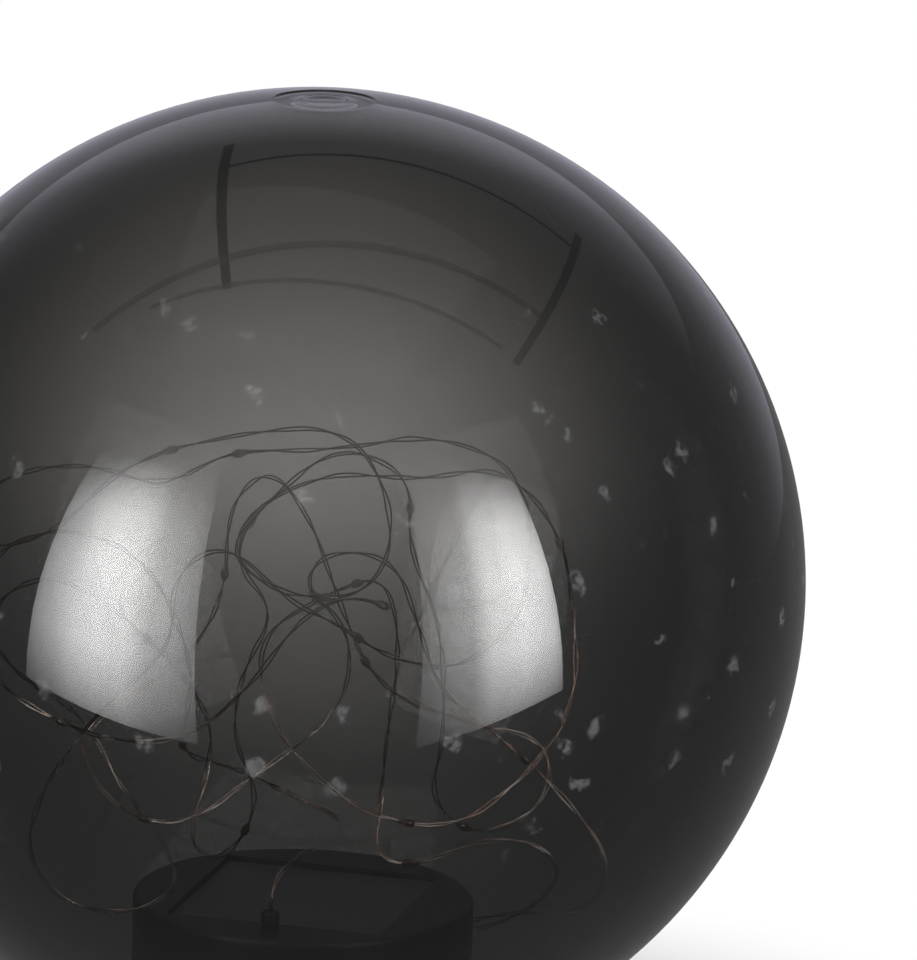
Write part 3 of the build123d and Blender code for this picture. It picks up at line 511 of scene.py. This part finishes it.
def string_spline():
    """The string's centre line as a smooth spline through the route, read back as points in metres."""
    points = [OUTLET_TOP, OUTLET_TOP + Vector((0, 0, STRING_LIFT))]
    points += [GLOBE_CENTRE + RIGHT * u + ABOVE * v + NEARER * w for u, v, w in STRING_ROUTE]
    line = bpy.data.curves.new("string_line", "CURVE")
    line.dimensions = "3D"
    line.resolution_u = 14
    spline = line.splines.new("NURBS")
    spline.points.add(len(points) - 1)
    for knot, point in zip(spline.points, points):
        knot.co = (*(point * MM), 1)
    spline.order_u = 3
    spline.use_endpoint_u = True
    holder = bpy.data.objects.new("string_line", line)
    bpy.context.scene.collection.objects.link(holder)
    bpy.context.view_layer.update()
    drawn = bpy.data.meshes.new_from_object(holder.evaluated_get(bpy.context.evaluated_depsgraph_get()))
    path = [v.co.copy() for v in drawn.vertices]
    bpy.data.objects.remove(holder)
    bpy.data.meshes.remove(drawn)
    return path


def even_steps(path, step):
    """Points one step apart along the path, each with its direction."""
    places, run = [], 0.0
    for here, after in zip(path, path[1:]):
        length = (after - here).length
        while run <= length:
            places.append((here.lerp(after, run / length), (after - here).normalized()))
            run += step
        run -= length
    return places


def carried_frames(places):
    """A direction square to the line at each place, carried along without twist."""
    side = places[0][1].orthogonal().normalized()
    frames = []
    for point, along in places:
        side = (side - along * side.dot(along)).normalized()
        frames.append((point, along, side, along.cross(side)))
    return frames


def tube_along(name, lines, radius):
    """Round wires along several lines of points, as one mesh piece."""
    curve = bpy.data.curves.new(name, "CURVE")
    curve.dimensions = "3D"
    curve.bevel_depth = radius
    curve.bevel_resolution = 1
    curve.use_fill_caps = True
    for points in lines:
        spline = curve.splines.new("POLY")
        spline.points.add(len(points) - 1)
        for knot, point in zip(spline.points, points):
            knot.co = (*point, 1)
    piece = bpy.data.objects.new(name, curve)
    bpy.context.scene.collection.objects.link(piece)
    bpy.ops.object.select_all(action="DESELECT")
    bpy.context.view_layer.objects.active = piece
    piece.select_set(True)
    bpy.ops.object.convert(target="MESH")
    piece.data.polygons.foreach_set("use_smooth", [True] * len(piece.data.polygons))
    return piece


def drops_along(path):
    """Where each light's middle is on the path, and its direction. The last light ends the string."""
    length = sum((b - a).length for a, b in zip(path, path[1:]))
    steps = even_steps(path, FINE_STEP * MM)
    last = STRING_LENGTH - DROP_LENGTH / 2
    count = int((last - FIRST_LIGHT_FROM_OUTLET) / LIGHT_PITCH) + 1
    places = [(last - i * LIGHT_PITCH) / STRING_LENGTH for i in range(count)]
    return [steps[round(place * length / (FINE_STEP * MM))] for place in places], [place * length for place in places]


def light_string(path, drops):
    """Two enamelled copper wires, loosely laid side by side and drawn together where each light is cast on them."""
    wires = [[], []]
    step = WIRE_STEP * MM
    for i, (point, _, side, over) in enumerate(carried_frames(even_steps(path, step))):
        run = i * step
        turn = 2 * math.pi * run / (WIRE_TURN_EVERY * MM) + 1.3 * math.sin(run / (47 * MM))
        near_drop = min(abs(run - place) for place in drops)
        apart = WIRES_APART + 0.14 * math.sin(run / (4.3 * MM)) * math.sin(run / (19 * MM))
        apart += 0.05 * math.sin(run / (1.9 * MM))
        spread = min(1, max(0, near_drop - 2 * MM) / (9 * MM))
        apart = WIRES_APART_AT_LIGHT + (apart - WIRES_APART_AT_LIGHT) * spread
        kink = 0.12 * math.sin(run / (3.1 * MM)) * math.sin(run / (11 * MM))
        middle = point + over * kink * MM
        offset = (side * math.cos(turn) + over * math.sin(turn)) * apart * MM
        wires[0].append(middle + offset)
        wires[1].append(middle - offset)
    piece = tube_along("light_string_wires", wires, WIRE_RADIUS * MM)
    give(piece, enamelled_copper())
    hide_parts("light_string")
    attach(piece, "base")
    return piece


def copies_joined(model, places, name):
    """Copies of a piece that points along Z, one at each place, as one piece; the model is used up."""
    copies = []
    for i, (point, along) in enumerate(places):
        copy = model.copy()
        copy.data = model.data.copy()
        bpy.context.scene.collection.objects.link(copy)
        turn = along.to_track_quat("Z", "Y").to_matrix().to_4x4()
        copy.data.transform(Matrix.Translation(point) @ turn @ Matrix.Rotation(i * LIGHT_TURN, 4, "Z"))
        copies.append(copy)
    bpy.data.objects.remove(model)
    bpy.ops.object.select_all(action="DESELECT")
    for copy in copies:
        copy.select_set(True)
    bpy.context.view_layer.objects.active = copies[0]
    bpy.ops.object.join()
    copies[0].name = name
    return copies[0]


def resin_drops(places):
    """Clear epoxy drops, fuller where the light is and drawn out along the wires at the other end."""
    half = DROP_LENGTH / 2
    outline = [(0, -half), (0.34, -half + 0.05), (0.46, -half + 0.7), (0.78, -half + 1.5), (1.08, -0.3),
               (DROP_RADIUS, 0.6), (1.12, 1.4), (0.84, half - 0.5), (0.42, half - 0.08), (0, half)]
    drop = lathe("drop", outline, 16)
    smooth = drop.modifiers.new("rounding", "SUBSURF")
    smooth.levels = smooth.render_levels = 1
    bpy.ops.object.modifier_apply(modifier="rounding")
    bpy.ops.object.shade_smooth()
    piece = copies_joined(drop, places, "resin_drops")
    give(piece, clear_epoxy())
    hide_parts("light_beads")
    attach(piece, "base")
    return piece


def light_chips(places):
    """The light's chip in each drop: a small block with its amber phosphor face, set on the wires."""
    chip = added("chip", bpy.ops.mesh.primitive_cube_add, size=MM, location=(0, 0, 0))
    chip.data.transform(Matrix.Translation((0, 0, CHIP_OFF_MIDDLE * MM)) @ Matrix.Diagonal((*CHIP_SIZE, 1)))
    bevel = chip.modifiers.new("edges", "BEVEL")
    bevel.width = CHIP_EDGE * MM
    bevel.segments = 2
    bpy.ops.object.modifier_apply(modifier="edges")
    bpy.ops.object.shade_smooth_by_angle(angle=math.radians(35))
    piece = copies_joined(chip, places, "light_chips")
    give(piece, amber_phosphor())
    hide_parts("led_chips")
    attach(piece, "base")
    return piece


# ---- surroundings ----
# What the ball mirrors: the room of the photograph, as seen from the ball. Turns are degrees right of the viewer,
# rises are degrees above level, and brightness is counted with white as 1.
WINDOW_LEFT = {"turns": (-65, -24), "facing": -30, "rises": (-23, 42.5), "lean": 0.12, "foot_rise": 0.10,
               "bands": [(0.0, 4.0), (0.16, 8.5), (0.28, 13.5), (0.42, 16.0), (0.58, 14.0), (0.72, 7.5), (1.0, 2.6)]}
WINDOW_RIGHT = {"turns": (58.8, 25), "facing": 20, "rises": (-22.5, 43), "lean": 0.10, "foot_rise": 0.10,
                "bands": [(0.0, 9.0), (0.07, 13.0), (0.26, 16.0), (0.50, 12.0), (0.64, 4.8), (1.0, 1.2)]}
WINDOW_RISE_BANDS = [(0.0, 0.22), (0.06, 0.40), (0.22, 0.90), (0.45, 1.0), (0.62, 0.75), (0.76, 0.24), (0.85, 0.04),
                     (1.0, 0.0)]
WINDOW_DISTANCE = 1.2
BACK_WALL_DISTANCE = 1.6
ROOM_RADIUS = 2.6
FLOOR_SIDE = 30
TABLE_RADIUS = 1.0
TABLE_BEHIND = 0.70
CEILING_HEIGHT = 1.2
CEILING_GLOW = {"turn": -5, "rise": 58, "spread": 54, "fall": 3.0, "strength": 1.2, "colour": "#fffaf2"}
BACK_GLOW = {"turn": 180, "rise": -4, "spread": 30, "fall": 2.0, "strength": 0.48, "colour": "#d9d8f0"}
ROOM_LEVEL = 0.15
TABLE_LEVEL = 0.16
RIG_BARS = [
    ((-0.28, -1.08), (-0.30, 0.10), 0.032, "#a8a8a8"), ((0.90, -1.16), (0.82, 0.20), 0.044, "#b8b8b8"),
    ((-0.27, -0.73), (0.86, -0.90), 0.030, "#a8a8a8"), ((-0.90, 0.00), (0.86, -0.16), 0.038, "#dcdcdc"),
    ((-0.60, 0.06), (0.72, 0.16), 0.022, "#d4d4d4"),
]
BACK_WALL = {"turns": (128, 232), "rises": (18.5, 48),
             "bands": [(0.0, 0.50), (0.25, 0.34), (0.6, 0.14), (1.0, 0.0)]}
BACK_WALL_ENDS = [(0.0, 0.0), (0.3, 0.9), (0.5, 1.0), (0.7, 0.9), (1.0, 0.0)]


def way_from_view(turn, rise):
    """A direction from the ball, turn degrees right of the viewer and rise degrees above level."""
    turn, rise = math.radians(VIEW_TURN + turn), math.radians(rise)
    return Vector((math.sin(turn) * math.cos(rise), -math.cos(turn) * math.cos(rise), math.sin(rise)))


def mirrored_only(piece):
    """Leave a piece of the surroundings to be seen in gloss alone."""
    piece.visible_camera = False
    piece.visible_diffuse = False
    piece.visible_shadow = False
    piece.visible_volume_scatter = False


def in_gloss_only(made, shown):
    """A shader that shows only to rays that have met a gloss, so that it isn't seen straight through the ball."""
    rays = add_node(made, "LightPath")
    met = add_node(made, "Math", {0: rays.outputs["Glossy Depth"], 1: 1.0}, operation="MINIMUM")
    clear = add_node(made, "BsdfTransparent")
    return add_node(made, "MixShader", {"Fac": met, 1: clear, 2: shown})


def mirrored_glow(name, colour, strength_of=None, strength=1.0, over_room=False):
    """A glow seen in gloss alone; over the room, it adds to what is behind it."""
    made = plain_material(name)
    shown = add_node(made, "Emission", {
        "Color": linear(colour), "Strength": strength_of(made) if strength_of else strength})
    if over_room:
        clear = add_node(made, "BsdfTransparent")
        shown = add_node(made, "AddShader", {0: shown, 1: clear})
    return finish_material(made, in_gloss_only(made, shown))


def brightness_bands(made, value, bands, top):
    """Brightness along a value from 0 to 1, as bands that run into each other; top is the brightest."""
    ramp = add_node(made, "ValToRGB", {"Fac": value})
    elements = ramp.color_ramp.elements
    elements[0].position, elements[1].position = bands[0][0], bands[-1][0]
    for place, _ in bands[1:-1]:
        elements.new(place)
    for element, (_, level) in zip(elements, bands):
        element.color = (level / top, level / top, level / top, 1.0)
    return ramp


def window_card(name, turns, facing, rises, lean, foot_rise, bands):
    """A tall soft light beside the viewer, brightest in a band along its outer part and fading above and below. Its
    outer side leans in by a share of its turn, and its foot rises outwards by a share of its height."""
    card = added(name, bpy.ops.mesh.primitive_grid_add, x_subdivisions=16, y_subdivisions=8, size=2)
    low, high = (WINDOW_DISTANCE * math.tan(math.radians(rise)) for rise in rises)
    for vertex in card.data.vertices:
        across, up = (vertex.co.x + 1) / 2, (vertex.co.y + 1) / 2
        outer, inner = turns[0] * (1 - lean * up), turns[1]
        turn = outer + across * (inner - outer)
        distance = WINDOW_DISTANCE / math.cos(math.radians(turn - facing))
        foot = low + (1 - across) * foot_rise * (high - low)
        height = foot + up * (high - foot)
        vertex.co = GLOBE_CENTRE * MM + way_from_view(turn, 0) * distance + Vector((0, 0, height))

    def strength(made):
        split = add_node(made, "SeparateXYZ", {"Vector": add_node(made, "UVMap")})
        brightest = max(level for _, level in bands)
        across = brightness_bands(made, split.outputs["X"], bands, brightest)
        up = brightness_bands(made, split.outputs["Y"], WINDOW_RISE_BANDS, 1.0)
        both = add_node(made, "Math", {0: across, 1: up}, operation="MULTIPLY")
        return add_node(made, "Math", {0: both, 1: brightest}, operation="MULTIPLY")

    give(card, mirrored_glow(name, "#ffffff", strength, over_room=True))
    mirrored_only(card)


def room():
    """The dim room round the table, with a pale ceiling before the light and a paler wall behind it."""
    shell = added("room", bpy.ops.mesh.primitive_uv_sphere_add, segments=48, ring_count=32, radius=ROOM_RADIUS,
                  location=(0, 0, 0))
    made, place = new_material("room_walls")
    way = add_node(made, "VectorMath", {0: place}, operation="NORMALIZE")
    shown = add_node(made, "Emission", {"Color": linear("#ffffff"), "Strength": ROOM_LEVEL})
    for glow in (CEILING_GLOW, BACK_GLOW):
        towards = add_node(made, "VectorMath", {
            0: way, 1: way_from_view(glow["turn"], glow["rise"])}, operation="DOT_PRODUCT")
        angle = add_node(made, "Math", {0: towards}, operation="ARCCOSINE")
        share = add_node(made, "Math", {0: angle, 1: math.radians(glow["spread"])}, operation="DIVIDE")
        steep = add_node(made, "Math", {0: share, 1: glow["fall"]}, operation="POWER")
        fade = add_node(made, "Math", {0: math.exp(-1), 1: steep}, operation="POWER")
        level = add_node(made, "Math", {0: fade, 1: glow["strength"]}, operation="MULTIPLY")
        light = add_node(made, "Emission", {"Color": linear(glow["colour"]), "Strength": level})
        shown = add_node(made, "AddShader", {0: shown, 1: light})
    give(shell, finish_material(made, in_gloss_only(made, shown)))
    mirrored_only(shell)
    table = added("table_seen_in_gloss", bpy.ops.mesh.primitive_circle_add, vertices=96, radius=TABLE_RADIUS,
                  fill_type="NGON", location=way_from_view(180, 0) * TABLE_BEHIND + Vector((0, 0, 0.0002)))
    give(table, mirrored_glow("dark_table", "#ffffff", strength=TABLE_LEVEL))
    mirrored_only(table)


def mirrored_shade(name, colour):
    """A thin shade seen in gloss alone: it dims what is behind it."""
    made = plain_material(name)
    shade = add_node(made, "BsdfTransparent", {"Color": linear(colour)})
    return finish_material(made, in_gloss_only(made, shade))


def ceiling_rig():
    """The lamp rig under the ceiling: long thin bars, each given by its ends and width, as shares of the ceiling's
    height, and by the grey it dims what is behind it to."""
    toward = way_from_view(0, 0)
    across = toward.cross(Vector((0, 0, 1))) * -1
    height = CEILING_HEIGHT + GLOBE_CENTRE.z * MM
    for i, (*ends, width, shade) in enumerate(RIG_BARS):
        start, end = (across * x * CEILING_HEIGHT + toward * y * CEILING_HEIGHT for x, y in ends)
        along = end - start
        bar = added(f"rig_bar_{i + 1}", bpy.ops.mesh.primitive_plane_add, size=1, location=(0, 0, 0))
        bar.data.transform(Matrix.Translation((start + end) / 2 + Vector((0, 0, height)))
                           @ Matrix.Rotation(math.atan2(along.y, along.x), 4, "Z")
                           @ Matrix.Diagonal((along.length, width * CEILING_HEIGHT, 1, 1)))
        give(bar, mirrored_shade(bar.name, shade))
        mirrored_only(bar)


def back_wall(turns, rises, bands):
    """The pale wall behind the light, brightest along its lower edge."""
    wall = added("back_wall", bpy.ops.mesh.primitive_grid_add, x_subdivisions=24, y_subdivisions=2, size=2)
    for vertex in wall.data.vertices:
        turn = turns[0] + (vertex.co.x + 1) / 2 * (turns[1] - turns[0])
        rise = rises[0] + (vertex.co.y + 1) / 2 * (rises[1] - rises[0])
        vertex.co = GLOBE_CENTRE * MM + way_from_view(turn, rise) * BACK_WALL_DISTANCE

    def strength(made):
        split = add_node(made, "SeparateXYZ", {"Vector": add_node(made, "UVMap")})
        return add_node(made, "Math", {
            0: brightness_bands(made, split.outputs["Y"], bands, 1.0),
            1: brightness_bands(made, split.outputs["X"], BACK_WALL_ENDS, 1.0)}, operation="MULTIPLY")

    give(wall, mirrored_glow("back_wall", "#dcdcf0", strength, over_room=True))
    mirrored_only(wall)


def area_lamp(name, place, width, height, power):
    """A soft lamp for plain light; what the ball mirrors is the room."""
    lamp = added(name, bpy.ops.object.light_add, type="AREA", location=place)
    lamp.data.shape = "RECTANGLE"
    lamp.data.size = width
    lamp.data.size_y = height
    lamp.data.energy = power
    lamp.rotation_euler = (place - GLOBE_CENTRE * MM).to_track_quat("Z", "Y").to_euler()
    lamp.visible_glossy = False


# Each lamp's place from the ball and its width and height, in metres, and its power in watts.
LAMPS = {
    "lamp_left": (way_from_view(-46, 22) * 1.6, 1.0, 1.3, 13.0),
    "lamp_right": (way_from_view(44, 22) * 1.6, 1.0, 1.3, 13.0),
    "lamp_above": (Vector((0, 0, 1.7)), 1.6, 1.6, 12.0),
}

# The floor as the ball shows it: a bright patch behind the ball, by how far behind it is and how far aside.
PATCH_BEHIND = {"near": 0.30, "far": 1.08, "bands": [
    (0.0, 0.06), (0.12, 0.22), (0.24, 0.34), (0.32, 0.56), (0.40, 0.84), (0.47, 1.0), (0.53, 1.0), (0.64, 0.76),
    (0.78, 0.38), (0.88, 0.14), (1.0, 0.04)]}
PATCH_ASIDE = {"middle": -0.010, "far": 0.18, "bands": [
    (0.0, 1.0), (0.12, 0.94), (0.22, 0.78), (0.32, 0.57), (0.43, 0.34), (0.55, 0.17), (0.70, 0.05), (1.0, 0.0)]}
DIM_FLOOR = 0.11
# Beyond these distances, in metres, that floor is white again, and before the light it is half as bright.
WHITE_BEHIND, WHITE_ASIDE, HALF_BEFORE = (1.40, 1.80), (0.20, 0.30), (0.08, -0.06)
SHADOW_REACH = (0.09, 0.21)


def floor_as_the_ball_shows_it(made, place):
    """Brightness of the floor for light that comes through the ball, from 0 to 1."""
    behind = add_node(made, "VectorMath", {0: place, 1: way_from_view(180, 0)}, operation="DOT_PRODUCT")
    aside = add_node(made, "VectorMath", {0: place, 1: RIGHT}, operation="DOT_PRODUCT")
    aside = add_node(made, "Math", {0: aside, 1: PATCH_ASIDE["middle"]}, operation="SUBTRACT")
    aside = add_node(made, "Math", {0: aside}, operation="ABSOLUTE")
    along = add_node(made, "MapRange", {"Value": behind, "From Min": PATCH_BEHIND["near"],
                                        "From Max": PATCH_BEHIND["far"]})
    across = add_node(made, "MapRange", {"Value": aside, "From Min": 0.0, "From Max": PATCH_ASIDE["far"]})
    patch = add_node(made, "Math", {
        0: brightness_bands(made, along, PATCH_BEHIND["bands"], 1.0),
        1: brightness_bands(made, across, PATCH_ASIDE["bands"], 1.0)}, operation="MULTIPLY")
    level = add_node(made, "Math", {0: patch, 1: 1 - DIM_FLOOR, 2: DIM_FLOOR}, operation="MULTIPLY_ADD")
    edges = ((behind, WHITE_BEHIND, 1.0), (aside, WHITE_ASIDE, 1.0), (behind, HALF_BEFORE, 0.5))
    for value, (start, end), top in edges:
        beyond = add_node(made, "MapRange", {"Value": value, "From Min": start, "From Max": end, "To Max": top})
        level = add_node(made, "Math", {0: level, 1: beyond}, operation="MAXIMUM")
    return level


def pale_floor():
    """A pale studio floor that keeps the light's shadow, runs out into white, is dimmer as seen through the ball, and
    can be looked through from below."""
    made, place = new_material("pale_floor")
    away = add_node(made, "VectorMath", {0: place}, operation="LENGTH")
    rays = add_node(made, "LightPath")
    matt = add_node(made, "BsdfPrincipled", {"Base Color": linear("#ececec"), "Roughness": 0.9,
                                             "Specular IOR Level": 0.1})
    white = add_node(made, "Emission", {"Color": linear("#ffffff"), "Strength": 1.0})
    share = add_node(made, "MapRange", {
        "Value": away, "From Min": SHADOW_REACH[0], "From Max": SHADOW_REACH[1]}, interpolation_type="SMOOTHSTEP")
    seen = add_node(made, "Math", {0: share, 1: rays.outputs["Is Camera Ray"]}, operation="MULTIPLY")
    plain = add_node(made, "MixShader", {"Fac": seen, 1: matt, 2: white})
    dimmer = add_node(made, "Emission", {
        "Color": linear("#ffffff"), "Strength": floor_as_the_ball_shows_it(made, place)})
    behind = add_node(made, "MixShader", {"Fac": rays.outputs["Is Transmission Ray"], 1: plain, 2: dimmer})
    side = add_node(made, "NewGeometry")
    hidden = add_node(made, "Math", {0: rays.outputs["Glossy Depth"], 1: side.outputs["Backfacing"]}, operation="ADD")
    hidden = add_node(made, "Math", {0: hidden, 1: 1.0}, operation="MINIMUM")
    clear = add_node(made, "BsdfTransparent")
    shown = add_node(made, "MixShader", {"Fac": hidden, 1: behind, 2: clear})
    return finish_material(made, shown)


def studio():
    floor = added("floor", bpy.ops.mesh.primitive_plane_add, size=FLOOR_SIDE, location=(0, 0, -0.0002))
    give(floor, pale_floor())
    world = bpy.data.worlds.new("studio")
    bpy.context.scene.world = world
    world.use_nodes = True
    world.node_tree.nodes["Background"].inputs["Color"].default_value = linear("#9a9a9c")
    for name, (offset, width, height, power) in LAMPS.items():
        area_lamp(name, GLOBE_CENTRE * MM + offset, width, height, power)
    room()
    ceiling_rig()
    back_wall(**BACK_WALL)
    window_card("window_left", **WINDOW_LEFT)
    window_card("window_right", **WINDOW_RIGHT)
    bpy.context.scene.view_settings.view_transform = "Standard"


# Where a finish changes on the inner pieces, in millimetres from an end, a flange or the middle.
SLEEVE_FROM_MINUS, SLEEVE_FROM_PLUS = 1.5, 2.6
DRIVER_HALF_BODY = 1.95
COIL_FLANGE = 1.0
CAN_BARE_FOOT = 0.8
PANEL_LEADS_PART_AT = -6.0


def dress_nodes():
    black = moulded_abs("black_abs", "#262628", 0.42)
    steel, rubber = nickel_plated_steel(), moulded_rubber()
    chip_low, chip_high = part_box("driver_chip")
    coil_low, coil_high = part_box("boost_coil")
    cell_low, cell_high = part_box("battery_cell")
    can_low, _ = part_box("storage_capacitor")
    finishes = {
        "solar_housing": black, "wire_outlet": moulded_abs("outlet_abs", "#161617", 0.5), "base_cover": black,
        "battery_door": black, "switch_knob": moulded_abs("knob_abs", "#38383b", 0.35),
        "switch_body": moulded_abs("switch_nylon", "#1b1b1d", 0.55),
        "neck_gasket": rubber, "cover_gasket": rubber, "rubber_feet": rubber, "door_seal": closed_cell_foam(),
        "cover_screws": steel, "door_screw": steel, "board_screws": steel, "battery_spring": steel,
        "battery_plate": steel, "solar_cells": silicon_cells(), "panel_window": frosted_lamination(),
        "solar_panel_board": glass_epoxy_board("panel_board", "#141a18", "#222a27"),
        "circuit_board": glass_epoxy_board("circuit_board", "#0d4a24", "#1a6636"),
        "battery_cell": sleeved_cell(cell_low[0] + SLEEVE_FROM_MINUS * MM, cell_high[0] - SLEEVE_FROM_PLUS * MM),
        "driver_chip": driver_chip_case((chip_low[0] + chip_high[0]) / 2, DRIVER_HALF_BODY * MM),
        "boost_coil": wound_ferrite(coil_low[2] + COIL_FLANGE * MM, coil_high[2] - COIL_FLANGE * MM),
        "storage_capacitor": capacitor_can(can_low[2] + CAN_BARE_FOOT * MM),
        "battery_leads": pvc_insulation("battery_lead_pvc", "X"),
        "panel_leads": pvc_insulation("panel_lead_pvc", "Y", PANEL_LEADS_PART_AT * MM),
        "switch_leads": pvc_insulation("switch_lead_pvc"), "string_lead": pvc_insulation("string_lead_pvc"),
    }
    for name, finish in finishes.items():
        give(nodes[name], finish)


add_camera()
globe()
string_path = string_spline()
drop_places, drop_runs = drops_along(string_path)
string_piece = light_string(string_path, drop_runs)
drops = resin_drops(drop_places)
chips = light_chips(drop_places)
dress_nodes()
studio()
